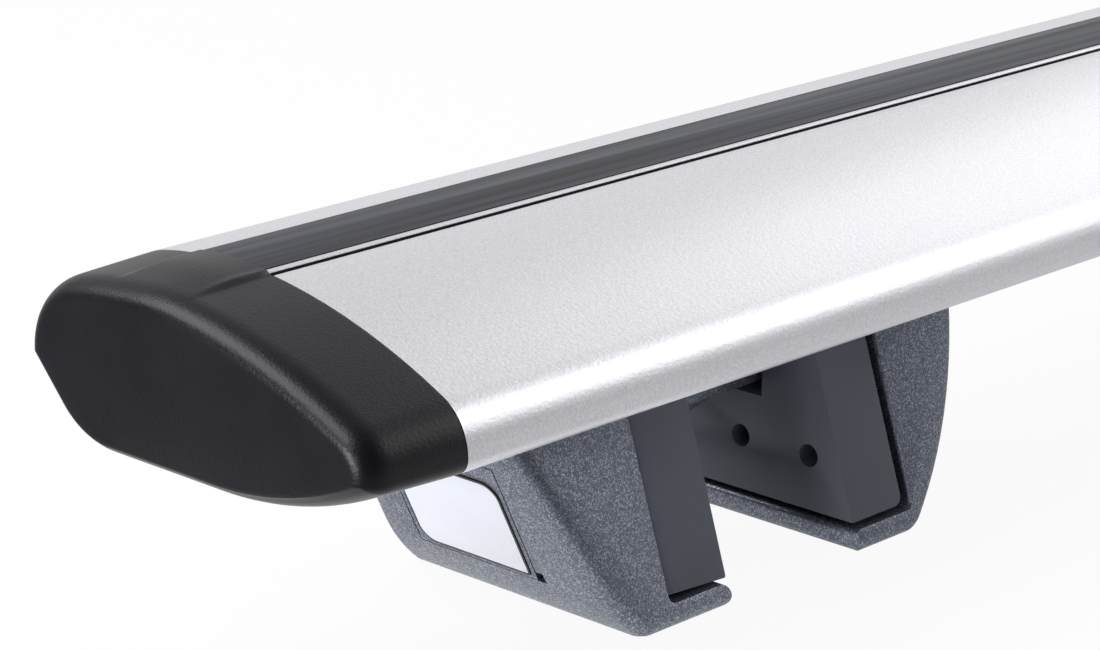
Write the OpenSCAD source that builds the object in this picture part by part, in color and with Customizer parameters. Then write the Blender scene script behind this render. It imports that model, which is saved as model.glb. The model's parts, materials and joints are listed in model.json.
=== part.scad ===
// Roof bar with a wing-shaped aluminium profile, a ribbed strip in its top slot, two end caps
// and two rail feet. Each foot hangs in the lower slot of the bar and grips a raised roof rail
// between an inner jaw and a sliding outer jaw that a single screw draws in.
// Frame: +X along the bar, -Y towards the rounded nose of the wing, +Z up, feet stand on z = 0.

/* [Bar] */
// length of the aluminium profile
bar_length = 1144; // [900:10:1500]
// radius over the nose, upper side
nose_r = 10; // [6:0.5:14]
// radius of the long upper surface
top_r = 124.6; // [90:1:180]
// radius of the blunt rear edge
rear_r = 15.3; // [10:0.1:20]
// radius of the hollow under the nose side
under_r = 78.4; // [50:1:120]
// wall thickness of the hollow profile
skin = 2; // [1.4:0.1:3]
// height of the flat underside over the ground the feet stand on
bar_floor = 40.8; // [35:0.1:60]
// distance of the nose tip from the middle of the bar
nose_reach = 42.5; // [35:0.5:50]

/* [Top slot] */
// middle of the top slot behind the middle of the bar
top_slot_y = 12.9; // [0:0.1:20]
// width of the strip recess
strip_w = 15.8; // [12:0.1:20]
// depth of the strip recess below the highest line
strip_seat = 2.7; // [2:0.1:4]
// mouth of the top slot
top_mouth = 11; // [8:0.5:14]
// inner width of the top slot
top_cavity = 21; // [16:0.5:24]
// thickness of the slot lips
top_lip = 2; // [1.5:0.1:3]
// inner height of the top slot
top_room = 6; // [4:0.5:8]
// width of the bright rib in front of the strip
rib_w = 1.35; // [0.8:0.05:2]
// width and depth of the groove in front of the rib
groove_w = 1.3; // [0.8:0.05:2]
groove_d = 1.2; // [0.6:0.1:2]

/* [Lower slot] */
// middle of the lower slot behind the middle of the bar
low_slot_y = 7.5; // [0:0.5:15]
// mouth of the lower slot
low_mouth = 8.5; // [6:0.5:12]
// inner width of the lower slot
low_cavity = 17; // [12:0.5:20]
// thickness of the lower lips
low_lip = 2.4; // [1.5:0.1:4]
// inner height of the lower slot
low_room = 5; // [4:0.5:8]
// wall round both slots and of the webs
web = 1.8; // [1.2:0.1:3]

/* [End cap] */
// length of the cap outside the profile
cap_length = 21; // [12:0.5:30]
// rounding of the end face
cap_round = 4.2; // [2:0.1:8]
// how much the cap tapers towards its end face
cap_taper = 0.7; // [0:0.1:2]
// wall of the hollow cap
cap_wall = 3; // [2:0.1:4]
// depth the plugs reach into the profile
plug_depth = 18; // [8:1:30]
// play of the plugs in the chambers
plug_play = 0.15; // [0.05:0.05:0.5]

/* [Foot] */
// distance of the rail middle from the end of the profile
rail_inset = 98; // [80:1:300]
// clear width between the two pads
rail_gap = 35; // [25:0.5:45]
// half depth of the foot behind and before the lower slot
foot_rear = 23; // [15:0.5:30]
foot_front = 36; // [20:0.5:40]
// slope of the front face away from the vertical
front_slope = 18; // [0:1:25]
// rounding of the front and rear edges of the two jaws
front_fold = 3.2; // [1:0.1:5]
rear_fold = 1.6; // [0.5:0.1:3]
// thickness of the hook under the rail
hook_t = 4.7; // [3:0.1:8]
// gap under the pads
pad_lift = 1.3; // [0.5:0.1:3]
// thickness of the outer pad
outer_pad_t = 16; // [8:0.5:20]
// thickness of the inner pad and of the boss behind it
inner_pad_t = 14.6; // [8:0.1:20]
pad_boss_t = 2.4; // [1:0.1:4]
// diameter and spacing of the round pockets in the inner pad
pocket_d = 4.4; // [3:0.1:6]
pocket_pitch = 16.7; // [12:0.1:20]
pocket_depth = 5; // [2:0.5:8]

/* [Clamp] */
// tilt of the slide and the clamp screw
clamp_tilt = 12; // [0:1:20]
// height of the screw axis over the ground at the rail middle
axis_z = 33.4; // [28:0.1:38]
// width and height of the guide beam
beam_w = 17; // [12:0.5:24]
beam_h = 14; // [10:0.5:18]
// play of the outer jaw on the guide beam, each side
beam_play = 0.3; // [0.1:0.05:1]
// where the beam ends and where the jaw pocket ends, measured along the slide
beam_end = -36.3; // [-40:0.1:-25]
pocket_end = -39.4; // [-44:0.1:-30]
// seat of the screw head in the outer jaw
head_seat = -43; // [-48:0.5:-38]
// end of the sleeve of the outer jaw
sleeve_end = -21; // [-26:0.5:-18]
// clamp screw: thread, shank length, head
screw_d = 8; // [6:1:10]
screw_len = 40; // [30:1:60]
head_d = 13; // [10:0.5:16]
head_h = 5; // [4:0.5:8]
// width over flats of the key socket
key_w = 5; // [4:0.5:8]

/* [Cover and badge] */
// thickness of the cover and of the blank badge plate
cover_t = 2.4; // [1.5:0.1:4]
badge_t = 1; // [0.5:0.1:2]
// width and height of the badge plate
badge_w = 27; // [20:0.5:35]
badge_h = 21.2; // [15:0.1:30]
// width and height of the cover
cover_w = 29.2; // [22:0.1:36]
cover_h = 26; // [18:0.1:32]

/* [Hidden] */
bar_half = bar_length / 2;
foot_x = bar_half - rail_inset;

// turning angles of the section, going clockwise from the nose tip over the top
turns = [64.2, 19.8, 9, 3, 6, 78, 43.2, 46.8, 26.6, 63.4];
radii = [nose_r, top_r, 60, 200, 60, rear_r, 3.3, 18.7, under_r, 3.26];
steps = [12, 9, 4, 2, 3, 14, 5, 8, 8, 8];
// the nose tip stands this far over the flat underside
nose_lift = under_r * (1 - cos(turns[8])) + radii[9] * sin(turns[9]);
nose_z = bar_floor + nose_lift;
function sum_to(v, k) = k < 1 ? 0 : v[k - 1] + sum_to(v, k - 1);
function heading(k) = 90 - sum_to(turns, k);
function unit(a) = [cos(a), sin(a)];
// radius left after moving the outline inwards
function inner_r(k, d) = max(radii[k] - d, 0.4);
// heading turns clockwise, so the centre of an arc lies to the right of its start
function arc_move(k, d) = inner_r(k, d) * (unit(heading(k) - 90) - unit(heading(k + 1) - 90));
function move_to(k, d) = k < 1 ? [0, 0] : arc_move(k - 1, d) + move_to(k - 1, d);
// straight rear facet and flat underside close the outline
function facet_len(d) = -move_to(10, d)[1] / sin(heading(7));
function flat_len(d) = move_to(10, d)[0] + facet_len(d) * cos(heading(7));
function start_of(k, d) = [d - nose_reach, nose_z] + move_to(k, d)
    + (k > 6 ? facet_len(d) * unit(heading(7)) : [0, 0])
    + (k > 7 ? flat_len(d) * [-1, 0] : [0, 0]);
function arc_points(k, d) = [for (i = [0:steps[k]])
    start_of(k, d) + inner_r(k, d) * (unit(heading(k) - 90)
        - unit(heading(k) - 90 - turns[k] * i / steps[k]))];
// a straight run before an arc adds the arc's own first point
function first_step(k) = (k == 7 || k == 8) ? 0 : 1;
// closed outline of the wing, offset inwards by d
function wing(d) = [for (k = [0:9]) for (i = [first_step(k):steps[k]]) arc_points(k, d)[i]];
top_z = start_of(3, 0)[1] + 0.08;

seat_z = top_z - strip_seat;
box_bottom = seat_z - top_lip - top_room - web;
top_front = top_slot_y - top_cavity / 2 - web;
top_back = top_slot_y + top_cavity / 2 + web;
low_top = bar_floor + low_lip + low_room + web;
low_front = low_slot_y - low_cavity / 2 - web;
low_back = low_slot_y + low_cavity / 2 + web;
strip_front = top_slot_y - strip_w / 2;
nose_web_y = -22;

// a bar-long block between two y and two z values
module beam_block(y0, y1, z0, z1, long = bar_length + 2) {
    translate([-long / 2, y0, z0]) cube([long, y1 - y0, z1 - z0]);
}

// wing outline pushed along X
module wing_body(d, x0, long) {
    translate([x0, 0, 0]) rotate([90, 0, 90]) linear_extrude(long) polygon(wing(d));
}

// nose chamber split by one web, lower slot box left standing
module nose_chambers() {
    difference() {
        intersection() {
            wing_body(skin, -bar_half - 1, bar_length + 2);
            beam_block(-60, top_front, 0, 100);
        }
        beam_block(nose_web_y, nose_web_y + web, 0, 100, bar_length + 4);
        beam_block(low_front, low_back, 0, low_top, bar_length + 4);
    }
}

// chamber behind the slots
module rear_chamber() {
    difference() {
        intersection() {
            wing_body(skin, -bar_half - 1, bar_length + 2);
            beam_block(low_back, 60, 0, 100);
        }
        beam_block(0, top_back, box_bottom, 100, bar_length + 4);
    }
}

module bar_profile() {
    color([0.85, 0.85, 0.87]) difference() {
        wing_body(0, -bar_half, bar_length);
        nose_chambers();
        rear_chamber();
        // middle chamber between the two webs
        beam_block(top_front + web, low_back - web, low_top, box_bottom);
        // top slot: strip recess, mouth and inner room
        beam_block(strip_front, strip_front + strip_w, seat_z, 100);
        beam_block(top_slot_y - top_mouth / 2, top_slot_y + top_mouth / 2, seat_z - top_lip - 1, seat_z + 1);
        beam_block(top_front + web, top_back - web, box_bottom + web, seat_z - top_lip);
        // groove in front of the bright rib
        beam_block(strip_front - rib_w - groove_w, strip_front - rib_w, top_z - 0.35 - groove_d, 100);
        // lower slot: mouth and inner room
        beam_block(low_slot_y - low_mouth / 2, low_slot_y + low_mouth / 2, 0, bar_floor + low_lip + 1);
        beam_block(low_front + web, low_back - web, bar_floor + low_lip, low_top - web);
    }
}

// ribbed strip: crowned top, stem through the mouth and two barbs under the lips
strip_gap = 0.05;
crown_h = 0.45;
crown = [for (i = [0:16]) let (t = i / 8 - 1)
    [top_slot_y + t * (strip_w / 2 - strip_gap),
     top_z + crown_h - 0.62 * t * t - (i % 2 == 1 ? 0.12 : 0)]];
stem = top_mouth / 2 - 0.1;
module slot_strip() {
    color([0.24, 0.25, 0.28]) translate([-bar_half, 0, 0]) rotate([90, 0, 90]) linear_extrude(bar_length)
        polygon(concat(crown,
            [[top_slot_y + strip_w / 2 - strip_gap, seat_z],
             [top_slot_y + stem, seat_z],
             [top_slot_y + stem, seat_z - top_lip],
             [top_slot_y + stem + 0.9, seat_z - top_lip],
             [top_slot_y + stem - 0.4, seat_z - top_lip - 1.8],
             [top_slot_y + stem - 1.6, seat_z - top_lip - 1.8],
             [top_slot_y + stem - 1.6, seat_z - 0.4],
             [top_slot_y - stem + 1.6, seat_z - 0.4],
             [top_slot_y - stem + 1.6, seat_z - top_lip - 1.8],
             [top_slot_y - stem + 0.4, seat_z - top_lip - 1.8],
             [top_slot_y - stem - 0.9, seat_z - top_lip],
             [top_slot_y - stem, seat_z - top_lip],
             [top_slot_y - stem, seat_z],
             [top_slot_y - strip_w / 2 + strip_gap, seat_z]]));
}

// cap outline layers from the profile end to the rounded end face, drawn at the right end
module cap_shell() {
    hull() {
        translate([0.01, 0, 0]) rotate([90, 0, 90]) linear_extrude(0.01) polygon(wing(0.02));
        for (a = [0:15:90])
            translate([cap_length - cap_round + cap_round * sin(a) - 0.01, 0, 0])
                rotate([90, 0, 90]) linear_extrude(0.01)
                    polygon(wing(cap_taper + cap_round * (1 - cos(a))));
    }
}

plug_long = plug_depth + cap_length - cap_wall + 0.5;
plug_wall = 1.6;
// block between two y and two z values, cut to the inside of the profile, all set in by d
module plug_core(y0, y1, z0, z1, d, x0, long) {
    intersection() {
        wing_body(skin + d, x0, long);
        translate([x0 - 1, y0 + d, z0 + d]) cube([long + 2, y1 - y0 - 2 * d, z1 - z0 - 2 * d]);
    }
}

// plug open towards the profile
module plug(y0, y1, z0, z1) {
    difference() {
        plug_core(y0, y1, z0, z1, plug_play, -plug_depth, plug_long);
        plug_core(y0, y1, z0, z1, plug_play + plug_wall, -plug_depth - 1, plug_long);
    }
}

band_up = 0.45;
module band_slice(x, up) {
    translate([x, 0, 0]) rotate([90, 0, 90]) linear_extrude(0.01) intersection() {
        polygon(wing(-up));
        translate([strip_front - rib_w, top_z - 2.1]) square([strip_w + rib_w, 6]);
    }
}

module end_cap() {
    union() {
        difference() {
            cap_shell();
            // hollow behind the end face
            wing_body(cap_wall, -1, cap_length - cap_wall + 1);
        }
        // plugs that reach from the end wall into the chambers of the profile
        plug(nose_web_y + web, low_front, bar_floor + skin, 100);
        plug(low_back, top_back + 40, bar_floor + skin, box_bottom);
        plug(top_front + web, low_back - web, low_top, box_bottom);
        // raised band that continues the strip and sinks into the cap
        hull() {
            band_slice(0.02, band_up);
            band_slice(cap_length - cap_round, -cap_taper - 0.3);
        }
    }
}

module end_cap_right() {
    color([0.17, 0.17, 0.18]) translate([bar_half, 0, 0]) end_cap();
}

module end_cap_left() {
    color([0.17, 0.17, 0.18]) mirror([1, 0, 0]) translate([bar_half, 0, 0]) end_cap();
}

// jaws: polygons in the plane across the rail, x from the rail middle, z up
outer_face = -rail_gap / 2 - outer_pad_t;
inner_seat = rail_gap / 2 + inner_pad_t + pad_boss_t;
jaw_lean = 26.1;
jaw_top = bar_floor - 0.9;
base_top = bar_floor - 0.3;
foot_z = 0;
function arc_xz(cx, cz, r, a0, a1, n) = [for (i = [0:n])
    [cx, cz] + r * unit(a0 + (a1 - a0) * i / n)];
// point of the leaning outer face where the straight part ends
face_x = -48.6;
face_z = 10.6;
face_r = 32;
function face_at(z) = face_x - (z - face_z) * tan(jaw_lean);
// outer sides of both jaws, drawn on past the rail side and past the top
over_top = 8;
outer_outline = concat(
    [[face_at(jaw_top + over_top), jaw_top + over_top]],
    arc_xz(face_x + face_r * cos(jaw_lean), face_z + face_r * sin(jaw_lean), face_r, 180 + jaw_lean, 229, 8),
    [[-38.8, 0], [0, 0], [0, jaw_top + over_top]]);
inner_outline = concat(
    [[0, base_top + over_top], [0, 0]],
    arc_xz(32.7, 6.9, 6.9, -90, -48, 6),
    arc_xz(-12.9, 57.5, 75, -46, asin((base_top + over_top - 57.5) / 75), 14));
// what the rail side of each jaw leaves open over its hook
outer_open = concat(
    [[outer_face, 60]],
    arc_xz(outer_face + 1.5, hook_t + 1.5, 1.5, 180, 270, 5),
    arc_xz(-rail_gap / 2 - 2.75, hook_t / 2, hook_t / 2, 90, -90, 10),
    [[-rail_gap / 2 - 2.75, -3], [10, -3], [10, 60]]);
inner_open = concat(
    [[inner_seat, 60]],
    arc_xz(inner_seat - 1.5, hook_t + 1.5, 1.5, 0, -90, 5),
    arc_xz(rail_gap / 2 + 1.5, hook_t - 1.2, 1.2, 90, 180, 4),
    arc_xz(rail_gap / 2 + 2.3, 2, 2, 180, 270, 5),
    [[rail_gap / 2 + 2.3, -3], [-10, -3], [-10, 60]]);

// one slice of a jaw parallel to its front or rear face, in by q and set in at its edges
module front_slice(outline, q, inset) {
    translate([0, low_slot_y - foot_front + q / cos(front_slope), 0]) rotate([90 - front_slope, 0, 0])
        translate([0, 0, -0.01]) linear_extrude(0.01) offset(delta = -inset)
            polygon([for (p = outline) [p[0], p[1] / cos(front_slope)]]);
}
module rear_slice(outline, q, inset) {
    translate([0, low_slot_y + foot_rear - q, 0]) rotate([90, 0, 0])
        linear_extrude(0.01) offset(delta = -inset) polygon(outline);
}

// jaw with a sloping front face, an upright rear face and rounded edges round both
module jaw_block(outline, open, top) {
    difference() {
        hull() {
            for (a = [0:18:90])
                front_slice(outline, front_fold * (1 - sin(a)), front_fold * (1 - cos(a)));
            for (a = [0:30:90])
                rear_slice(outline, rear_fold * (1 - sin(a)), rear_fold * (1 - cos(a)));
        }
        jaw_slab(open);
        // flat top under the bar
        translate([-90, -60, top]) cube([180, 120, over_top + 5]);
    }
}

// foot bodies are cut to a sloping front plane and an upright rear plane
module foot_window(front = 0, back = 0) {
    translate([-80, 0, 0]) rotate([90, 0, 90]) linear_extrude(160)
        polygon([[low_slot_y - foot_front + front - 2 * tan(front_slope), -2],
                 [low_slot_y - foot_front + front + 60 * tan(front_slope), 60],
                 [low_slot_y + foot_rear - back, 60],
                 [low_slot_y + foot_rear - back, -2]]);
}

// outline in the x-z plane pushed along Y
module jaw_slab(outline, y0 = -40, y1 = 60) {
    translate([0, y1, 0]) rotate([90, 0, 0]) linear_extrude(y1 - y0) polygon(outline);
}

// frame of the slide: origin on the screw axis over the rail middle, x along the screw
module on_slide() {
    translate([0, low_slot_y, axis_z]) rotate([0, -clamp_tilt, 0]) children();
}

// frame of the outer face: y along the bar's depth, x outwards, z up the face
face_y = 6.4;
module on_face() {
    translate([face_at(14.6), face_y, 14.6]) rotate([0, -jaw_lean, 0]) mirror([1, 0, 0])
        children();
}

module slide_block(u0, u1, half_y, half_w) {
    on_slide() translate([u0, -half_y, -half_w]) cube([u1 - u0, 2 * half_y, 2 * half_w]);
}

module slide_rod(u0, u1, d) {
    on_slide() translate([u0, 0, 0]) rotate([0, 90, 0]) cylinder(u1 - u0, d = d, $fn = 64);
}

nut_from = -22;
nut_long = 8;
nut_high = 11;
fix_x = 9;
fix_seat = 34.2;
fix_head_h = 6;
shoulder_floor = 27.9;
shoulder_step = 0.7;

module foot_base() {
    color([0.33, 0.34, 0.37]) difference() {
        union() {
            jaw_block(inner_outline, inner_open, base_top);
            // shoulder under the bar and tilted guide beam over the rail
            translate([-6, low_slot_y - beam_w / 2 - shoulder_step, shoulder_floor])
                cube([inner_seat + 8, beam_w + 2 * shoulder_step, base_top - shoulder_floor]);
            intersection() {
                slide_block(beam_end, 9, beam_w / 2, beam_h / 2);
                translate([-60, -60, 0]) cube([120, 120, base_top - 0.2]);
            }
        }
        // bore of the clamp screw
        slide_rod(beam_end - 1, 1, screw_d + 0.8);
        // cross slot for the clamp nut
        slide_block(nut_from - 0.05, nut_from + nut_long + 0.05, beam_w, nut_high / 2 + 0.05);
        // bore and counterbore of the fixing screw
        translate([fix_x, low_slot_y, shoulder_floor - 3])
            cylinder(fix_seat - shoulder_floor + 3, d = 10.6, $fn = 48);
        translate([fix_x, low_slot_y, shoulder_floor]) cylinder(30, d = 6.6, $fn = 48);
        // two cored pockets behind the pad
        translate([inner_seat - 1, -15, 12]) cube([9, 14, 13]);
        translate([inner_seat - 1, 15.5, 12]) cube([9, 12, 13]);
    }
}

module inner_pad() {
    color([0.2, 0.2, 0.22]) difference() {
        union() {
            intersection() {
                translate([rail_gap / 2, -60, hook_t + pad_lift])
                    cube([inner_pad_t, 120, base_top - 0.5 - hook_t - pad_lift]);
                foot_window(0.4, 0.6);
            }
            // boss that holds the pad off the jaw
            translate([rail_gap / 2 + inner_pad_t - 1, -14.5, 9]) cube([pad_boss_t + 1, 42.5, 16]);
        }
        // notch for the shoulder of the foot
        translate([rail_gap / 2 - 1, low_slot_y - 11, 25.5]) cube([inner_pad_t + 2, 22, 30]);
        // round pockets in the gripping face
        for (i = [-1:1])
            translate([rail_gap / 2 - 1, 1.5 + i * pocket_pitch, 16.6]) rotate([0, 90, 0])
                cylinder(pocket_depth + 1, d = pocket_d, $fn = 32);
    }
}

module outer_pad() {
    color([0.25, 0.26, 0.29]) difference() {
        intersection() {
            translate([outer_face + 0.3, -60, hook_t + pad_lift])
                cube([outer_pad_t - 0.3, 120, jaw_top - 0.3 - hook_t - pad_lift]);
            foot_window(0.4, 0.6);
        }
        // notch round the sleeve of the outer jaw
        translate([outer_face - 1, low_slot_y - 13, 15.6]) cube([outer_pad_t + 2, 26, 30]);
    }
    // stud that holds the pad in the jaw
    color([0.25, 0.26, 0.29]) translate([outer_face - 3, low_slot_y, 10.5]) rotate([0, 90, 0])
        cylinder(4, d = 6, $fn = 32);
}

cover_mid = 5.8;
badge_mid = 4.2;
lug_y = 11.2;
module outer_jaw() {
    color([0.36, 0.36, 0.39]) difference() {
        union() {
            jaw_block(outer_outline, outer_open, jaw_top);
            slide_block(-38, sleeve_end, beam_w / 2 + beam_play + 2.6, beam_h / 2 + beam_play + 2.3);
        }
        // pocket that slides on the guide beam
        slide_block(pocket_end, 0, beam_w / 2 + beam_play, beam_h / 2 + beam_play);
        // screw hole and head pocket
        slide_rod(pocket_end - 10, 0, screw_d + 0.1);
        slide_rod(head_seat - 30, head_seat, head_d + 2.4);
        // recess of the cover and slots for its two lugs
        on_face() translate([-cover_t - 0.3, -cover_w / 2 - 0.3, cover_mid - cover_h / 2 - 0.3])
            cube([cover_t + 5, cover_w + 0.6, cover_h + 0.6]);
        for (i = [-1, 1])
            on_face() translate([-cover_t - 5.6, i * lug_y - 1.5, 1.7]) cube([6, 3, 6.6]);
        // small lever notch at the lower front corner of the cover
        on_face() translate([-cover_t - 0.3, -cover_w / 2 - 2, cover_mid - cover_h / 2 - 0.3])
            cube([cover_t + 5, 3, 2.4]);
        // cored pockets and the stud hole of the pad
        translate([outer_face - 9, -17, 8]) cube([10, 9, 18]);
        translate([outer_face - 9, 22.5, 8]) cube([10, 5, 18]);
        translate([outer_face - 3.2, low_slot_y, 10.5]) rotate([0, 90, 0]) cylinder(5, d = 6.1, $fn = 32);
    }
}

module clamp_screw() {
    color([0.7, 0.7, 0.72]) difference() {
        union() {
            slide_rod(head_seat - 1.4, head_seat + screw_len, screw_d);
            slide_rod(head_seat - 1.4 - head_h, head_seat - 1.4, head_d);
        }
        on_slide() translate([head_seat - 2.4 - head_h, 0, 0]) rotate([0, 90, 0])
            cylinder(4, d = key_w / cos(30), $fn = 6);
    }
}

module screw_washer() {
    color([0.75, 0.75, 0.76]) difference() {
        slide_rod(head_seat - 1.4, head_seat, head_d + 1.6);
        slide_rod(head_seat - 3, head_seat + 1, screw_d + 0.1);
    }
}

module clamp_nut() {
    color([0.72, 0.72, 0.7]) difference() {
        slide_block(nut_from, nut_from + nut_long, beam_w / 2 - 0.2, nut_high / 2);
        slide_rod(nut_from - 1, nut_from + nut_long + 1, screw_d + 0.1);
    }
}

module slot_nut() {
    color([0.72, 0.72, 0.7]) difference() {
        union() {
            translate([fix_x - 20, low_slot_y - low_cavity / 2 + 0.3, bar_floor + low_lip + 0.3])
                cube([40, low_cavity - 0.6, low_room - 0.8]);
            translate([fix_x - 20, low_slot_y - low_mouth / 2 + 0.3, base_top])
                cube([40, low_mouth - 0.6, bar_floor + low_lip + 0.4 - base_top]);
        }
        translate([fix_x, low_slot_y, base_top - 1]) cylinder(20, d = 6.1, $fn = 48);
    }
}

module fixing_screw() {
    color([0.7, 0.7, 0.72]) difference() {
        union() {
            translate([fix_x, low_slot_y, fix_seat - fix_head_h]) cylinder(fix_head_h, d = 10, $fn = 48);
            translate([fix_x, low_slot_y, fix_seat - 1]) cylinder(13.5, d = 6, $fn = 48);
        }
        translate([fix_x, low_slot_y, fix_seat - fix_head_h - 1]) cylinder(4, d = key_w / cos(30), $fn = 6);
    }
}

module screw_cover() {
    color([0.36, 0.36, 0.39]) difference() {
        union() {
            on_face() translate([-cover_t, -cover_w / 2, cover_mid - cover_h / 2])
                cube([cover_t, cover_w, cover_h]);
            for (i = [-1, 1])
                on_face() translate([-cover_t - 5, i * lug_y - 1.2, 2]) cube([5.5, 2.4, 6]);
        }
        // seat of the badge plate
        on_face() translate([-0.8, -badge_w / 2 - 0.1, badge_mid - badge_h / 2 - 0.1])
            cube([3, badge_w + 0.2, badge_h + 0.2]);
    }
}

module badge_plate() {
    color([0.93, 0.93, 0.94]) on_face() translate([-0.8, -badge_w / 2, badge_mid - badge_h / 2])
        cube([badge_t, badge_w, badge_h]);
}

// both feet are mirror images on the bar
module left() {
    translate([-foot_x, 0, foot_z]) children();
}
module right() {
    mirror([1, 0, 0]) left() children();
}

bar_profile();
slot_strip();
end_cap_left();
end_cap_right();
left() foot_base();  // foot_base_left
left() inner_pad();  // inner_pad_left
left() outer_jaw();  // outer_jaw_left
left() outer_pad();  // outer_pad_left
left() clamp_screw();  // clamp_screw_left
left() screw_washer();  // screw_washer_left
left() clamp_nut();  // clamp_nut_left
left() slot_nut();  // slot_nut_left
left() fixing_screw();  // fixing_screw_left
left() screw_cover();  // screw_cover_left
left() badge_plate();  // badge_plate_left
right() foot_base();  // foot_base_right
right() inner_pad();  // inner_pad_right
right() outer_jaw();  // outer_jaw_right
right() outer_pad();  // outer_pad_right
right() clamp_screw();  // clamp_screw_right
right() screw_washer();  // screw_washer_right
right() clamp_nut();  // clamp_nut_right
right() slot_nut();  // slot_nut_right
right() fixing_screw();  // fixing_screw_right
right() screw_cover();  // screw_cover_right
right() badge_plate();  // badge_plate_right
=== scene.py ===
# %% [markdown]
# # A roof bar with two rail feet
# The frame comes from the CAD model: every node is already in its place, in metres.
# X runs along the bar, -Y is the rounded nose of the wing, Z is up and the feet stand on z = 0.
# This lesson dresses that frame.

# %% Load the frame
import bpy
import bmesh
import json
from math import cos, sin, radians, pi, sqrt
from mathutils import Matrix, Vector


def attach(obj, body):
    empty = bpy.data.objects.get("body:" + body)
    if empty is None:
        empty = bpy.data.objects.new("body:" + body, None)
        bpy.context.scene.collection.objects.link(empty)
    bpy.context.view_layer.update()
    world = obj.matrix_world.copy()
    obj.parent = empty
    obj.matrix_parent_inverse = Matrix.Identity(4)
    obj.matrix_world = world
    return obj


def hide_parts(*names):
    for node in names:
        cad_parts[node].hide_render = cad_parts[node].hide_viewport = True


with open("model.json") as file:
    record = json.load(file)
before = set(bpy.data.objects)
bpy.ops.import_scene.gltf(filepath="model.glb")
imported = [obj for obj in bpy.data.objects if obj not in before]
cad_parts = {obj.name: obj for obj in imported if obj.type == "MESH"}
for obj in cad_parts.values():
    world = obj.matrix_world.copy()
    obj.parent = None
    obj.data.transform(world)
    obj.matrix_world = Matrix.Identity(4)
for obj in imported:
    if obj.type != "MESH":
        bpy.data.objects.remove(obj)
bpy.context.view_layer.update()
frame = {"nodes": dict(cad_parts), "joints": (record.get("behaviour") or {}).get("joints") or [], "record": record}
mm = 0.001


# %% [markdown]
# ## Camera
# The camera was solved from the straight edges of the bar, which meet in two vanishing points.
# It stands close to the near end, so the bar shrinks quickly towards the far end.
# A long lens and a known point and direction are all that is needed to set it.

# %% Camera
eye = Vector((-0.9328, -0.4094, 0.2339))
look = Vector((0.6860, 0.6641, -0.2972))
camera_data = bpy.data.cameras.new("camera")
camera_data.sensor_width = 36
camera_data.lens = 114.93
camera_data.clip_end = 20
camera = bpy.data.objects.new("camera", camera_data)
camera.location = eye
camera.rotation_euler = look.to_track_quat("-Z", "Y").to_euler()
bpy.context.scene.collection.objects.link(camera)
bpy.context.scene.camera = camera
bpy.context.scene.view_settings.view_transform = "Standard"
print("camera", [round(v, 3) for v in camera.location])

# %% [markdown]
# ## Node maths
# Materials here are sums and products of patterns. A small class wraps a socket and turns
# `a * b + 1` into Math nodes, so a recipe can be read as one line. Numbers that do not change
# over the surface are worked out by Python and written on the socket.

# %% Socket class and material builder


class Wire:
    """A socket whose arithmetic adds Math nodes."""

    def __init__(self, paint, socket):
        self.paint = paint
        self.socket = socket

    def math(self, operation, other=None, turned=False):
        pair = (other, self) if turned else (self, other)
        values = {i: v for i, v in enumerate(pair) if v is not None}
        return self.paint.node("Math", {"operation": operation}, values)

    def __add__(self, other):
        return self.math("ADD", other)

    def __radd__(self, other):
        return self.math("ADD", other, True)

    def __sub__(self, other):
        return self.math("SUBTRACT", other)

    def __rsub__(self, other):
        return self.math("SUBTRACT", other, True)

    def __mul__(self, other):
        return self.math("MULTIPLY", other)

    def __rmul__(self, other):
        return self.math("MULTIPLY", other, True)


class Paint:
    """A material with one Principled shader and a short way to add nodes."""

    def __init__(self, name):
        self.material = bpy.data.materials.new(name)
        self.material.use_nodes = True
        self.tree = self.material.node_tree
        self.shader = self.tree.nodes["Principled BSDF"]
        self.place = self.node("TexCoord", {}, {}, "Object")

    def node(self, kind, settings, inputs, output=0):
        made = self.tree.nodes.new("ShaderNode" + kind)
        for key, value in settings.items():
            setattr(made, key, value)
        for key, value in inputs.items():
            self.put(made.inputs[key], value)
        return Wire(self, made.outputs[output])

    def put(self, socket, value):
        if isinstance(value, Wire):
            self.tree.links.new(value.socket, socket)
        else:
            socket.default_value = value

    def set(self, **values):
        for key, value in values.items():
            self.put(self.shader.inputs[key.replace("_", " ")], value)

    def stretch(self, scale):
        return self.node("Mapping", {}, {"Vector": self.place, "Scale": scale})

    def noise(self, scale, detail=2.0, rough=0.5, place=None):
        inputs = {"Vector": place or self.place, "Scale": scale, "Detail": detail, "Roughness": rough}
        return self.node("TexNoise", {}, inputs, "Fac")

    def cells(self, scale, output="Distance"):
        return self.node("TexVoronoi", {}, {"Vector": self.place, "Scale": scale}, output)

    def fade(self, value, low, high, start=0.0, end=1.0):
        inputs = {"Value": value, "From Min": low, "From Max": high, "To Min": start, "To Max": end}
        return self.node("MapRange", {"clamp": True}, inputs)

    def blend(self, factor, one, two):
        return self.node("Mix", {"data_type": "RGBA"}, {0: factor, 6: one, 7: two}, 2)

    def bump(self, height, distance, strength):
        inputs = {"Height": height, "Distance": distance, "Strength": strength}
        return self.node("Bump", {}, inputs)


def rgb(red, green, blue):
    """A display colour (0 to 255) as the linear colour that a shader works in."""
    return tuple(((c / 255 + 0.055) / 1.055) ** 2.4 if c > 10 else c / 255 / 12.92
                 for c in (red, green, blue)) + (1.0,)


print("node maths ready")

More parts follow.
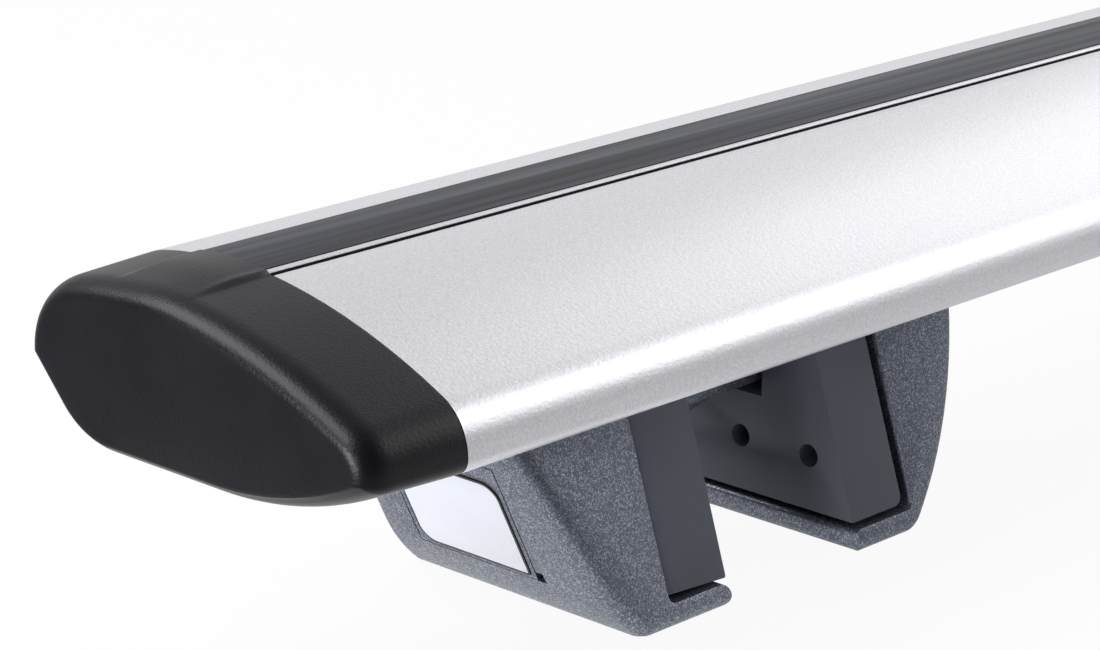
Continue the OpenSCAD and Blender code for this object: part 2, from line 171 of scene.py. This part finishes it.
# %% [markdown]
# ## Aluminium of the bar
# The profile is blasted with fine beads and then anodised, so it is a satin metal that breaks up
# into a fine grain close by, with very faint lines along the bar from the extrusion die.
# A photo texture could show that, but noise in the piece's own coordinates has no seams and stays
# sharp at any distance. One fine noise drives colour, roughness and bump together, because on
# the real surface all three come from the same dents.

# %% Anodised aluminium
paint = Paint("anodised aluminium")
grain = paint.noise(2600, 2, 0.6)
die_lines = paint.noise(1, 3, 0.6, paint.stretch((4, 1500, 1500)))
cloud = paint.noise(14, 2)
dents = paint.noise(1350, 2, 0.5)
tone = paint.blend(paint.fade(grain, 0.3, 0.7), rgb(212, 211, 216), rgb(236, 235, 240))
paint.set(Base_Color=tone, Metallic=0.9, Specular_IOR_Level=0.5,
          Roughness=0.36 + (grain - 0.5) * 0.22 + (cloud - 0.5) * 0.05,
          Normal=paint.bump(grain * 0.5 + die_lines * 0.15 + dents, 0.00007, 0.55))
anodised = paint.material
print("made", anodised.name)

# %% [markdown]
# ## Rubber of the strip
# The strip is drawn rubber with long streaks. Stretching a noise eighty times along the bar
# gives streaks that never repeat. Their pale bands in the colour are painted reflection lines, the sheen of the
# shallow waves of the rubber; in bump and roughness the streaks are real, and they are a little smoother where
# they are pale.

# %% Rubber of the strip
paint = Paint("strip rubber")
streaks_and_painted_sheen = paint.noise(1, 2, 0.6, paint.stretch((5, 420, 420)))
fine = paint.noise(3000, 2)
# Pale streaks in the base colour paint reflection lines; the same streaks in roughness and bump are the rubber's
# own.
paint.set(Base_Color=paint.blend(paint.fade(streaks_and_painted_sheen, 0.36, 0.66), rgb(13, 15, 24), rgb(46, 49, 64)),
          Specular_IOR_Level=0.4, Roughness=0.46 - (streaks_and_painted_sheen - 0.5) * 0.3,
          Normal=paint.bump(streaks_and_painted_sheen * 0.6 + fine * 0.1, 0.0002, 0.5))
strip_rubber = paint.material
print("made", strip_rubber.name)

# %% [markdown]
# ## Plastic of the caps
# The caps are black moulded plastic with a grain as fine as glove leather. Cells make its pebbles
# and noise its creases. Both go to the bump alone, since the colour of such plastic is even.

# %% Grained plastic of the caps
paint = Paint("grained plastic")
pebbles = paint.cells(1700)
creases = paint.noise(2600, 3, 0.6)
soft = paint.noise(60, 3)
paint.set(Base_Color=paint.blend(paint.fade(soft, 0.3, 0.7), rgb(8, 8, 16), rgb(14, 14, 22)),
          Specular_IOR_Level=0.32, Roughness=0.37 + (soft - 0.5) * 0.08,
          Normal=paint.bump(pebbles * 0.6 + creases * 0.4, 0.00007, 0.6))
cap_plastic = paint.material
print("made", cap_plastic.name)

# %% [markdown]
# ## Painted shade in the groove
# The groove in front of the bright rib is narrow, and its walls lie in shade. That shade is painted:
# a second near-black finish on the same mesh colours the walls, with no extra piece that could come loose.

# %% Painted shade in the groove
paint = Paint("painted groove shade")
# Near-black colour that paints the shade inside the narrow groove.
paint.set(Base_Color=paint.blend(paint.noise(800, 2), rgb(14, 14, 16), rgb(26, 26, 29)), Roughness=0.8)
painted_groove_shade = paint.material
print("made", painted_groove_shade.name)

# %% [markdown]
# ## Coat of the jaws
# The jaws are die cast and painted with a dark textured coat full of metal flakes, which catch
# the light one by one. Flakes could be thousands of small faces. Cells with a random colour each
# cost nothing: the few brightest of them become smoother and paler than the coat around them.

# %% Textured coat
paint = Paint("textured coat")
lumps = paint.cells(1900)
grit = paint.noise(3400, 2, 0.7)
mottle = paint.fade(paint.noise(2300, 2, 0.7), 0.35, 0.65)
sparkle = paint.fade(paint.cells(4600, output="Color"), 0.62, 0.80)
dark_coat = paint.blend(mottle, rgb(90, 94, 105), rgb(117, 121, 133))
paint.set(Base_Color=paint.blend(sparkle, dark_coat, rgb(158, 163, 175)),
          Metallic=0.85, Roughness=0.46 - sparkle * 0.12,
          Normal=paint.bump(lumps * 0.6 + grit * 0.4, 0.0001, 0.6))
coat = paint.material
print("made", coat.name)

# %% [markdown]
# ## Rubber of the pads
# The pads are plain moulded rubber. A broad haze keeps the large flat faces from looking
# computed, and the bump is so fine that it only takes the edge off the reflections.

# %% Pad rubber
paint = Paint("pad rubber")
haze = paint.noise(35, 3)
fine = paint.noise(2500, 2)
paint.set(Base_Color=paint.blend(paint.fade(haze, 0.3, 0.7), rgb(82, 85, 97), rgb(92, 95, 108)),
          Roughness=0.6 + (haze - 0.5) * 0.12,
          Normal=paint.bump(fine, 0.00003, 0.5))
pad_rubber = paint.material
print("made", pad_rubber.name)

# %% [markdown]
# ## Zinc of the fasteners
# Screws, nuts and washers are steel with a bright zinc plating. They show only when a cover is
# off or a foot is seen from below, so one soft spangle for colour and roughness is enough.

# %% Zinc plated steel
paint = Paint("zinc plated steel")
spangle = paint.noise(400, 3)
paint.set(Base_Color=paint.blend(spangle, rgb(176, 178, 180), rgb(206, 207, 206)), Metallic=1.0,
          Roughness=0.3 + (spangle - 0.5) * 0.2,
          Normal=paint.bump(spangle, 0.00002, 0.4))
zinc = paint.material
print("made", zinc.name)

# %% [markdown]
# ## Blank plate and the painted shade round it
# The plate on the cover is white plastic under clear varnish, with nothing printed on it. The shade
# in the narrow gap round it is painted as a thin black rim, a second finish on the same mesh.

# %% Blank plate and painted gap shade
paint = Paint("blank gloss plate")
ripple = paint.noise(60, 2)
paint.set(Base_Color=paint.blend(ripple, rgb(210, 213, 223), rgb(219, 222, 231)),
          Roughness=0.12, Coat_Weight=0.5, Coat_Roughness=0.05,
          Normal=paint.bump(ripple, 0.00005, 0.2))
plate_gloss = paint.material

# Near-black colour that paints the shade of the gap round the plate.
paint = Paint("painted gap shade")
paint.set(Base_Color=paint.blend(paint.noise(300, 2), rgb(10, 10, 12), rgb(18, 18, 21)), Roughness=0.45)
painted_gap_shade = paint.material
print("made", plate_gloss.name, "and", painted_gap_shade.name)

# %% [markdown]
# ## Dressing the CAD nodes
# Every CAD node gets its finish first, so that nothing is left grey. The pieces that are made
# below then stand in for the nodes, each with the same finish on its own mesh.

# %% Give every CAD node its finish
finish_of = {"bar_profile": anodised, "slot_strip": strip_rubber, "end_cap": cap_plastic,
             "foot_base": coat, "outer_jaw": coat, "inner_pad": pad_rubber, "outer_pad": pad_rubber,
             "clamp_screw": zinc, "screw_washer": zinc, "clamp_nut": zinc, "slot_nut": zinc,
             "fixing_screw": zinc, "screw_cover": coat, "badge_plate": plate_gloss}


def finish_for(node):
    for start, material in finish_of.items():
        if node.startswith(start):
            return material


for name, piece in frame["nodes"].items():
    for slot in piece.material_slots:
        slot.material = finish_for(name)
print("dressed", len(frame["nodes"]), "nodes")

# %% [markdown]
# ## The section of the bar
# The wing is drawn the way a drafter would: one arc after another, each starting where the last
# one ended and pointing the same way, so that no corner shows. Spinning a single vertex about
# the arc's centre leaves the arc behind as edges. Two straight runs close the outline: a facet
# under the rear edge and the flat underside. Points read off a drawing would be quicker, but
# this outline can be set in by any amount and stays smooth, which the caps need.

# %% Wing outline by compass
# Each arc: radius in mm, turn in degrees, number of steps.
section_arcs = [(10, 64.2, 14), (124.6, 19.8, 44), (60, 9, 12), (200, 3, 12), (60, 6, 8),
                (15.3, 78, 24), (3.3, 43.2, 8), (18.7, 46.8, 14), (78.4, 26.6, 16), (3.26, 63.4, 10)]
facet_at, flat_at = 7, 8
underside_z = 40.8
least_radius = 0.4
nose_y = -42.5
nose_z = underside_z + 78.4 * (1 - cos(radians(26.6))) + 3.26 * sin(radians(63.4))


def way(degrees_up):
    """Unit step in the section plane, turned up from +Y."""
    return Vector((0, cos(radians(degrees_up)), sin(radians(degrees_up))))


def left_over(inset):
    """Lengths of the straight facet and of the flat underside, from what the arcs leave open."""
    heading, total, facet_heading = 90, Vector(), 0
    for k, (radius, turn, count) in enumerate(section_arcs):
        if k == facet_at:
            facet_heading = heading
        total -= max(radius - inset, least_radius) * (way(heading - turn - 90) - way(heading - 90))
        heading -= turn
    facet = -total.z / sin(radians(facet_heading))
    return facet, total.y + facet * cos(radians(facet_heading))


def go_straight(bm, tip, step):
    made = bmesh.ops.extrude_vert_indiv(bm, verts=[tip])["verts"][0]
    made.co = tip.co + step
    return made


def draw_wing(bm, x, inset):
    """Closed outline of the section at x, set in by inset, in millimetres."""
    known = set(bm.edges)
    facet, flat = left_over(inset)
    tip = bm.verts.new((x, nose_y + inset, nose_z))
    heading = 90
    for k, (radius, turn, count) in enumerate(section_arcs):
        if k == facet_at:
            tip = go_straight(bm, tip, facet * way(heading))
        if k == flat_at:
            tip = go_straight(bm, tip, flat * way(heading))
        centre = tip.co + max(radius - inset, least_radius) * way(heading - 90)
        made = bmesh.ops.spin(bm, geom=[tip], cent=centre, axis=(-1, 0, 0),
                              angle=radians(turn), steps=count)
        tip = next(g for g in made["geom_last"] if isinstance(g, bmesh.types.BMVert))
        heading -= turn
    fresh = [e for e in bm.edges if e not in known]
    bmesh.ops.remove_doubles(bm, verts=list({v for e in fresh for v in e.verts}), dist=0.02)
    return [e for e in bm.edges if e.is_valid and e not in known]


print("facet and flat, mm:", [round(v, 2) for v in left_over(0)])

# %% [markdown]
# ## Turning a mesh into a piece
# Every piece ends the same way: millimetres become metres, edges that fold sharply are marked
# so that the rest can shade smoothly, and the piece is hung on the body it rides on while the CAD node it stands
# for is hidden.
# Where the CAD shape is right but its edges are too sharp, a copy of the node is the start.

# %% Helpers for pieces


def creased(edge, least):
    return edge.is_manifold and edge.calc_face_angle(0) > radians(least)


def make_piece(bm, name, body, node, material, crease=30, second=None):
    """Shade and link one finished mesh that stands for a CAD node, hang it on its body and hide the node."""
    for face in bm.faces:
        face.smooth = True
    for edge in bm.edges:
        edge.smooth = not (creased(edge, crease) or not edge.is_manifold)
    open_edges = sum(not e.is_manifold for e in bm.edges)
    mesh = bpy.data.meshes.new(name)
    bm.to_mesh(mesh)
    bm.free()
    mesh.materials.append(material)
    if second:
        mesh.materials.append(second)
    piece = bpy.data.objects.new(name, mesh)
    bpy.context.scene.collection.objects.link(piece)
    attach(piece, body)
    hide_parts(node)
    slot_of(node)
    print(name, len(mesh.polygons), "faces,", open_edges, "open edges")


def slot_of(node):
    return next(s["material_slot"] for s in frame["record"]["subparts"] if s["node"] == node)


def to_metres(bm, mirrored=False):
    bmesh.ops.scale(bm, vec=(-mm if mirrored else mm, mm, mm), verts=bm.verts)
    bmesh.ops.recalc_face_normals(bm, faces=bm.faces)


def copy_of(node):
    """A merged copy of a CAD node, its flat regions joined into single faces."""
    bm = bmesh.new()
    bm.from_mesh(frame["nodes"][node].data)
    bmesh.ops.remove_doubles(bm, verts=bm.verts, dist=2e-6)
    bmesh.ops.dissolve_limit(bm, angle_limit=radians(0.4), verts=bm.verts, edges=bm.edges)
    return bm


def middle_of(edge):
    return (edge.verts[0].co + edge.verts[1].co) / 2


def soften(bm, radius, least=40, segments=2, where=lambda p: True):
    """Round the outward creases whose middle passes the test, radius in millimetres."""
    picked = [e for e in bm.edges if creased(e, least) and e.is_convex and where(middle_of(e))]
    bmesh.ops.bevel(bm, geom=picked, offset=radius * mm, offset_type="OFFSET", affect="EDGES",
                    segments=segments, profile=0.5, material=-1, clamp_overlap=True, loop_slide=True)
    return len(picked)


print("helpers ready: make_piece, copy_of, soften")

# %% [markdown]
# ## Bar profile
# The CAD profile has every slot, web and chamber, but its arcs are short flats. Shading across
# the flats makes them round, and a fine bevel on the rib and the slot edges gives the thin
# bright lines that an anodised extrusion shows there. The walls of the narrow groove in front
# of the rib get the second finish, face by face, which paints the shade in the groove near black.

# %% Bar profile
bar_half = 572
slot_edge_z = 66 * mm
groove_z = 70 * mm
groove_y = (2.34 * mm, 3.66 * mm)
bm = copy_of("bar_profile")


def on_top_edge(p):
    """True along the slot and the rib, not on the cut ends of the bar."""
    return p.z > slot_edge_z and abs(p.x) < 500 * mm


print("edges softened:", soften(bm, 0.22, 35, 2, on_top_edge))
# Faces inside the groove get the second finish, which paints the shade in the groove.
for face in bm.faces:
    middle = face.calc_center_median()
    if groove_y[0] < middle.y < groove_y[1] and middle.z > groove_z:
        face.material_index = 1
make_piece(bm, "bar", "bar", "bar_profile", anodised, 25, painted_groove_shade)

# %% [markdown]
# ## End caps
# Each cap is a stack of section outlines. The outlines shrink a little towards the end face,
# follow a quarter of a long ellipse round its edge and then close over a face that is very
# slightly crowned. Bridging neighbouring outlines gives the skin. A bevel on a straight block
# would be shorter, but it can't draw that long ellipse. A soft raised band, as wide as the strip
# and the rib, is pushed up afterwards and sinks into the cap before the end face.

# %% End caps
# Lengths in millimetres, x counted from the end of the bar outwards.
cap_long, cap_run, cap_round, cap_taper = 21.0, 6.0, 3.9, 0.6
band_y, band_soft = (3.3, 21.2), 0.9
strip_mid, strip_half = 12.9, 7.9
band_top, band_sag = 73.8, 0.62
band_start, band_end = 5, cap_long - 2.7
upper_side_z = 62


def cap_rings():
    """Distance from the bar's end and inset of each outline, in millimetres."""
    straight = cap_long - cap_run
    rings = [(0.02, 0.25), (0.25, 0.03)]
    rings += [(straight * t, cap_taper * t) for t in (0.15, 0.3, 0.45, 0.6, 0.75, 0.88, 1)]
    for a in range(9, 91, 9):
        rings.append((straight + (cap_run - 0.2) * sin(radians(a)),
                      cap_taper + cap_round * (1 - cos(radians(a)))))
    return rings + [(cap_long - 0.12, 6.4), (cap_long - 0.04, 9)]


def step_up(value, low, high):
    t = min(max((value - low) / (high - low), 0), 1)
    return t * t * (3 - 2 * t)


def band_share(p):
    """How much of the band's own height a point takes: 1 on the band, 0 beside and past it."""
    rise = step_up(p.y, band_y[0] - band_soft, band_y[0] + band_soft)
    fall = 1 - step_up(p.y, band_y[1] - band_soft, band_y[1] + band_soft)
    return rise * fall * (1 - step_up(p.x, band_start, band_end))


def band_height(y):
    """The band is crowned across its width like the strip."""
    t = min(abs(y - strip_mid) / strip_half, 1)
    return band_top - band_sag * t * t


def make_cap(side):
    bm = bmesh.new()
    loops = [draw_wing(bm, x, inset) for x, inset in cap_rings()]
    for one, two in zip(loops, loops[1:]):
        bmesh.ops.bridge_loops(bm, edges=one + two)
    bmesh.ops.holes_fill(bm, edges=[e for e in bm.edges if e.is_boundary], sides=0)
    lines = [edge + share * band_soft for edge in band_y for share in (-1, -0.6, -0.3, 0, 0.3, 0.6, 1)]
    for y in lines + [strip_mid - 4, strip_mid, strip_mid + 4]:
        bmesh.ops.bisect_plane(bm, geom=bm.verts[:] + bm.edges[:] + bm.faces[:], plane_co=(0, y, 0),
                               plane_no=(0, 1, 0), dist=0.001)
    for v in bm.verts:
        if v.co.z > upper_side_z and v.co.x < band_end:
            v.co.z += band_share(v.co) * (band_height(v.co.y) - v.co.z)
    bmesh.ops.translate(bm, vec=(bar_half, 0, 0), verts=bm.verts)
    to_metres(bm, side == "left")
    make_piece(bm, "cap_" + side, "bar", "end_cap_" + side, cap_plastic, 28)


for side in ("left", "right"):
    make_cap(side)

# %% [markdown]
# ## Strip
# The strip is copied from the CAD node, because the shallow waves across it are enough to break
# the highlight into long lines. It is cut half a millimetre short of each cap, which leaves the
# dark line that is seen between them.

# %% Strip
strip_short = 0.5
bm = copy_of("slot_strip")
for v in bm.verts:
    v.co.x -= strip_short * mm * (1 if v.co.x > 0 else -1)
make_piece(bm, "strip", "bar", "slot_strip", strip_rubber, 32)

# %% [markdown]
# ## Feet
# A foot is a set of cast and moulded blocks. The CAD nodes hold their true forms, so a merged
# copy is taken and its creases get the small radius that casting or moulding leaves. A Bevel
# modifier could do that too, but the operator lets a test choose the edges: the outer pad also
# gets a sloping underside, and the inner pad a chamfer in front and one round corner.

# %% Cast and moulded pieces of both feet
pad_drop = 1.0
pad_foot_z = 6.5 * mm
pad_chamfer, pad_corner = 1.3, 2.0


def slope_under(bm):
    """The underside of the outer pad runs down a little towards the rail."""
    low = [v for v in bm.verts if v.co.z < pad_foot_z]
    far = max(abs(v.co.x) for v in low)
    near = min(abs(v.co.x) for v in low)
    for v in low:
        v.co.z -= pad_drop * mm * (far - abs(v.co.x)) / (far - near)


def cut_edges(bm, radius, segments, test):
    """Bevel the sharp edges whose middle point and direction pass the test."""
    picked = [e for e in bm.edges if creased(e, 40) and e.is_convex
              and test(middle_of(e) / mm, (e.verts[0].co - e.verts[1].co).normalized())]
    bmesh.ops.bevel(bm, geom=picked, offset=radius * mm, offset_type="OFFSET", affect="EDGES",
                    segments=segments, profile=0.5, material=-1, clamp_overlap=True)
    return len(picked)


def shape_inner(bm):
    """A flat chamfer down the front of the gripping face and a round lower corner at the back."""
    low = min(v.co.z for v in bm.verts) / mm
    grip = max(abs(v.co.x) for v in bm.verts) / mm
    back = min(abs(v.co.x) for v in bm.verts if v.co.y < -20 * mm) / mm

    def front_edge(p, d):
        return abs(abs(p.x) - grip) < 0.1 and p.y < -10 and abs(d.z) > 0.8

    def lower_corner(p, d):
        return p.z < low + 0.1 and abs(abs(p.x) - back) < 0.1 and abs(d.y) > 0.8

    front = cut_edges(bm, pad_chamfer, 1, front_edge)
    corner = cut_edges(bm, pad_corner, 5, lower_corner)
    print("inner pad: front edges", front, "lower corners", corner)


for side in ("left", "right"):
    for node, body, material, radius in (
            ("foot_base", "foot", coat, 0.45), ("outer_jaw", "jaw", coat, 0.45),
            ("inner_pad", "foot", pad_rubber, 0.5), ("outer_pad", "jaw", pad_rubber, 0.55),
            ("clamp_nut", "foot", zinc, 0.3), ("slot_nut", "foot", zinc, 0.3),
            ("screw_washer", "screw", zinc, 0.15)):
        name = node + "_" + side
        bm = copy_of(name)
        if node == "outer_pad":
            slope_under(bm)
        if node == "inner_pad":
            shape_inner(bm)
        soften(bm, radius)
        make_piece(bm, name + "_cast", body + "_" + side, name, material)

# %% [markdown]
# ## Cover and blank plate
# The plate is a small leaf with three round corners and one tight one, set in a seat of the same
# shape. Both start as square CAD nodes. The short edges that stand on the face are the corners,
# so they are found by their direction and rounded, outward on the plate and inward on the seat.
# Two insets then draw a thin dark rim of painted gap shade on the plate and lift its middle into a shallow dome.

# %% Cover and plate
# Lengths in millimetres. The outer face leans in towards the rail at its lower edge.
face_lean = radians(26.1)
big_corner, tight_corner = 3.6, 0.9
rim, dome_run, dome_up = 0.5, 0.45, 0.12


def outward(side):
    """Direction out of the outer face of a jaw."""
    return Vector((-cos(face_lean) if side == "left" else cos(face_lean), 0, -sin(face_lean)))


def stands_on_face(edge, side):
    """True for a short edge that points out of the face."""
    along = (edge.verts[0].co - edge.verts[1].co).normalized()
    return abs(along.dot(outward(side))) > 0.99 and edge.calc_length() < 1.2 * mm


def round_corners(bm, side, convex):
    """Round the four corners of the plate or of its seat, the lower front one tightly."""
    upright = [e for e in bm.edges if stands_on_face(e, side) and e.is_convex == convex]
    upright.sort(key=lambda e: e.verts[0].co.z * 2 + e.verts[0].co.y)
    for edge, radius in zip(upright, (tight_corner, big_corner, big_corner, big_corner)):
        bmesh.ops.bevel(bm, geom=[edge], offset=radius * mm, offset_type="OFFSET", affect="EDGES",
                        segments=8, profile=0.5, material=-1, clamp_overlap=True)
    return len(upright)


def front_face(bm, side):
    facing = [f for f in bm.faces if f.normal.dot(outward(side)) > 0.99]
    return max(facing, key=lambda f: f.calc_area())


for side in ("left", "right"):
    bm = copy_of("badge_plate_" + side)
    count = round_corners(bm, side, True)
    bm.normal_update()
    top = front_face(bm, side)
    # Every face but the top, and then the inset ring, takes the painted shade of the gap round the plate.
    for face in bm.faces:
        face.material_index = 0 if face == top else 1
    bmesh.ops.inset_region(bm, faces=[top], thickness=rim * mm, depth=0)
    for face in bm.faces:
        face.material_index = 0 if face == top else 1
    bmesh.ops.inset_region(bm, faces=[top], thickness=dome_run * mm, depth=dome_up * mm)
    make_piece(bm, "blank_plate_" + side, "cover_" + side, "badge_plate_" + side,
               plate_gloss, 30, painted_gap_shade)
    bm = copy_of("screw_cover_" + side)
    seats = round_corners(bm, side, False)
    soften(bm, 0.2)
    make_piece(bm, "cover_shell_" + side, "cover_" + side, "screw_cover_" + side, coat)
    print("corners of plate and seat:", count, seats)

# %% [markdown]
# ## Screws
# Each screw is a stack of rings: hexagon socket, chamfered head, neck, core and tip. Rings of 48
# points and of 6 points are bridged where the round head meets the socket. The thread is one
# small triangle spun about the axis and moved on by the pitch as it turns. It is right-handed
# on both feet, because a screw is not mirrored with its foot.

# %% Rings and thread


def ring(bm, radius, z, count=48):
    made = bmesh.ops.create_circle(bm, cap_ends=False, segments=count, radius=radius)
    bmesh.ops.translate(bm, vec=(0, 0, z), verts=made["verts"])
    return list({e for v in made["verts"] for e in v.link_edges})


def thread(bm, inner, outer, start, end, pitch):
    """A ridge of triangular section that climbs round the Z axis."""
    half, per_turn = pitch * 0.42, 24
    corners = [bm.verts.new((inner, 0, start - half)), bm.verts.new((outer, 0, start)),
               bm.verts.new((inner, 0, start + half))]
    ends = [bm.edges.new((corners[i], corners[(i + 1) % 3])) for i in range(3)]
    count = int(per_turn * (end - start) / pitch)
    made = bmesh.ops.spin(bm, geom=corners + ends, cent=(0, 0, 0), axis=(0, 0, 1),
                          dvec=(0, 0, pitch / per_turn), angle=2 * pi * count / per_turn, steps=count)
    last = [g for g in made["geom_last"] if isinstance(g, bmesh.types.BMEdge)]
    for loop in (ends, last):
        bmesh.ops.contextual_create(bm, geom=loop)


print("ring and thread ready")

# %% Screws
# Lengths in millimetres. The bearing face of the clamp screw lies behind the point of its joint.
socket_key, socket_depth = 5 / sqrt(3), 3
clamp_seat_back = 44.4
fixing_seat = (465, 7.5, 34.2)


def make_screw(name, body, node, seat, way_in, diameter, length, head_d, head_h, pitch):
    """seat is the middle of the bearing face under the head, way_in points along the shank."""
    bm = bmesh.new()
    head, shank, core = head_d / 2, diameter / 2, diameter / 2 - 0.6 * pitch
    loops = [ring(bm, socket_key, socket_depth - head_h, 6), ring(bm, socket_key, 0.25 - head_h, 6)]
    for radius, z in ((socket_key + 0.3, -head_h), (head - 0.5, -head_h), (head, 0.5 - head_h),
                      (head, -0.2), (head - 0.2, 0), (shank - 0.05, 0), (shank - 0.05, 1.5),
                      (core, 2.2), (core, length - 1), (core * 0.75, length)):
        loops.append(ring(bm, radius, z))
    for one, two in zip(loops, loops[1:]):
        bmesh.ops.bridge_loops(bm, edges=one + two)
    bmesh.ops.holes_fill(bm, edges=[e for e in bm.edges if e.is_boundary], sides=0)
    thread(bm, core - 0.05, shank - 0.03, 2.4, length - 1.2, pitch)
    bmesh.ops.transform(bm, matrix=way_in.to_track_quat("Z", "Y").to_matrix().to_4x4(), verts=bm.verts)
    bmesh.ops.translate(bm, vec=seat, verts=bm.verts)
    to_metres(bm)
    make_piece(bm, name, body, node, zinc, 35)


joints = {j["name"]: j for j in frame["joints"]}
for side, hand in (("left", -1), ("right", 1)):
    hinge = joints["screw_turn_" + side]
    inward = Vector(hinge["axis"]).normalized()
    if inward.x * hand > 0:
        inward.negate()
    make_screw("clamp_screw_thread_" + side, "screw_" + side, "clamp_screw_" + side,
               seat=Vector(hinge["pos_m"]) / mm - clamp_seat_back * inward, way_in=inward,
               diameter=8, length=41.4, head_d=13, head_h=5, pitch=1.25)
    make_screw("fixing_screw_thread_" + side, "foot_" + side, "fixing_screw_" + side,
               seat=Vector((hand * fixing_seat[0], *fixing_seat[1:])), way_in=Vector((0, 0, 1)),
               diameter=6, length=12.5, head_d=10, head_h=6, pitch=1)

# %% [markdown]
# ## Floor
# The photograph is a product shot on pure white, so the floor is white to the camera and still
# keeps a soft shadow. In the reflections it is grey, because the real floor lies in the shadow
# of the bar, and it is brightest in a round patch under each end, where a photographer lays a
# white card to open up the leaning outer faces of the feet.

# %% Floor
card_x, card_y = 0.545, 0.02
card_inner, card_outer = 0.04, 0.12
floor_white = 0.93
bm = bmesh.new()
bmesh.ops.create_grid(bm, x_segments=1, y_segments=1, size=6)
mesh = bpy.data.meshes.new("floor")
bm.to_mesh(mesh)
bm.free()
floor = bpy.data.objects.new("floor", mesh)
bpy.context.scene.collection.objects.link(floor)
paint = Paint("white floor")
paint.set(Base_Color=(0.8, 0.8, 0.8, 1), Roughness=0.8)
seen_by_camera = paint.node("LightPath", {}, {}, "Is Camera Ray")
seen_in_gloss = paint.node("LightPath", {}, {}, "Is Glossy Ray")
side_way = paint.node("SeparateXYZ", {}, {0: paint.place}, "X").math("ABSOLUTE") - card_x
depth_way = paint.node("SeparateXYZ", {}, {0: paint.place}, "Y") - card_y
from_card = (side_way * side_way + depth_way * depth_way).math("SQRT")
card = paint.fade(from_card, card_inner, card_outer, 1.0, 0.0)
inner_floor = paint.fade(side_way, -0.1, 0.15, 0.68, 0.3)
floor_glow = seen_by_camera + seen_in_gloss * (inner_floor + card * 0.55)
glow = paint.node("Emission", {}, {"Color": (1, 1, 1, 1), "Strength": floor_glow})
white = seen_by_camera * floor_white + seen_in_gloss
plain = Wire(paint, paint.shader.outputs[0])
mix = paint.node("MixShader", {}, {0: white, 1: plain, 2: glow})
paint.tree.links.new(mix.socket, paint.tree.nodes["Material Output"].inputs["Surface"])
floor.data.materials.append(paint.material)
print("floor with a white card", card_x, "m out on either side")

# %% [markdown]
# ## Lamps
# Small lamps would draw hard lines on the satin metal, so all four are large soft boxes. One at
# the far end lights the top of the bar, one in front on the right draws the bright line along the
# nose, and a low one on the left opens the outer face of the near foot. The last one, above the
# left end, draws the soft line round the edge of the black cap.

# %% Lamps


def lamp(name, place, target, size, power):
    """A large area lamp that looks at a point."""
    data = bpy.data.lights.new(name, "AREA")
    data.shape = "RECTANGLE"
    data.size, data.size_y = size
    data.energy = power
    made = bpy.data.objects.new(name, data)
    made.location = place
    made.rotation_euler = (Vector(target) - Vector(place)).to_track_quat("-Z", "Y").to_euler()
    bpy.context.scene.collection.objects.link(made)
    print(name, power, "W")


lamp("far end softbox", (1.5, 0.3, 1.3), (0, 0, 0.05), (1.2, 1.0), 3.5)
lamp("right front softbox", (1.0, -1.0, 1.1), (-0.3, 0, 0.05), (1.2, 1.0), 7)
lamp("low left softbox", (-1.9, 0.1, 0.22), (-0.5, 0, 0.02), (0.9, 0.4), 15.5)
lamp("softbox over the left end", (-1.35, 0.55, 1.2), (-0.58, 0, 0.05), (1.7, 0.85), 25)

# %% [markdown]
# ## World
# The camera sees plain white. Everything else sees a studio that is bright on one side, behind
# the far end of the bar, and fades to near black on the side of the camera. That one gradient
# gives the metal its range of greys and keeps the end cap dark.

# %% World
bright_way = Vector((0.9, 0.35, -0.1)).normalized()
gradient = {"From Min": -0.3, "From Max": 0.86, "To Min": 0.05, "To Max": 0.91}
world = bpy.data.worlds.new("studio")
bpy.context.scene.world = world
world.use_nodes = True
tree = world.node_tree
back = tree.nodes["Background"]
back.inputs["Color"].default_value = (1, 1, 1, 1)
toward = tree.nodes.new("ShaderNodeTexCoord")
facing = tree.nodes.new("ShaderNodeVectorMath")
facing.operation = "DOT_PRODUCT"
facing.inputs[1].default_value = bright_way
brightness = tree.nodes.new("ShaderNodeMapRange")
for key, value in gradient.items():
    brightness.inputs[key].default_value = value
path = tree.nodes.new("ShaderNodeLightPath")
seen = tree.nodes.new("ShaderNodeMix")
tree.links.new(toward.outputs["Generated"], facing.inputs[0])
tree.links.new(facing.outputs["Value"], brightness.inputs["Value"])
tree.links.new(path.outputs["Is Camera Ray"], seen.inputs[0])
tree.links.new(brightness.outputs[0], seen.inputs[2])
seen.inputs[3].default_value = 1.0
tree.links.new(seen.outputs[0], back.inputs["Strength"])
print("world brightest towards", [round(v, 2) for v in bright_way])
